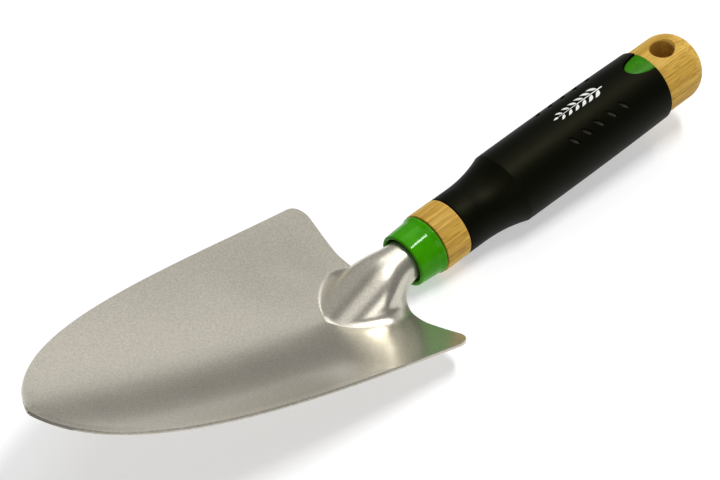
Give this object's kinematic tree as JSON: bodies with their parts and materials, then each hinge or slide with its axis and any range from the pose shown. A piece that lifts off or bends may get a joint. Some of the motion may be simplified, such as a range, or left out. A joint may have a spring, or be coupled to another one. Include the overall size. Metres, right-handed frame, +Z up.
{
  "type": "hand trowel",
  "caption": "Hand trowel: dished steel blade with a pressed neck, green ferrule and a rubber-gripped ash handle with a hanging hole.",
  "frame": {"origin": "bottom centre of the bounding box, on the surface that the trowel lies on, on its back with the hollow up", "axes": "+X towards the blade's tip, +Z up out of the hollow, Y across the blade; Y = 0 is the plane of symmetry"},
  "size_m": [0.3382, 0.0986, 0.0539],
  "materials": {
    "blade_steel": "satin, clear lacquered, with a fine blasted grain",
    "tang_steel": "plain turned",
    "green_enamel": "gloss enamel",
    "pin_iron": "blackened",
    "ash_wood": "sanded and oiled, straight grain along the handle",
    "black_rubber": "satin moulded",
    "green_plastic": "satin moulded"
  },
  "bodies": {
    "root": {"blade": "blade_steel", "tang": "tang_steel", "ferrule": "green_enamel", "ferrule_pin": "pin_iron", "handle_core": "ash_wood", "grip_sleeve": "black_rubber", "grip_inlay": "green_plastic"}
  },
  "joints": []
}
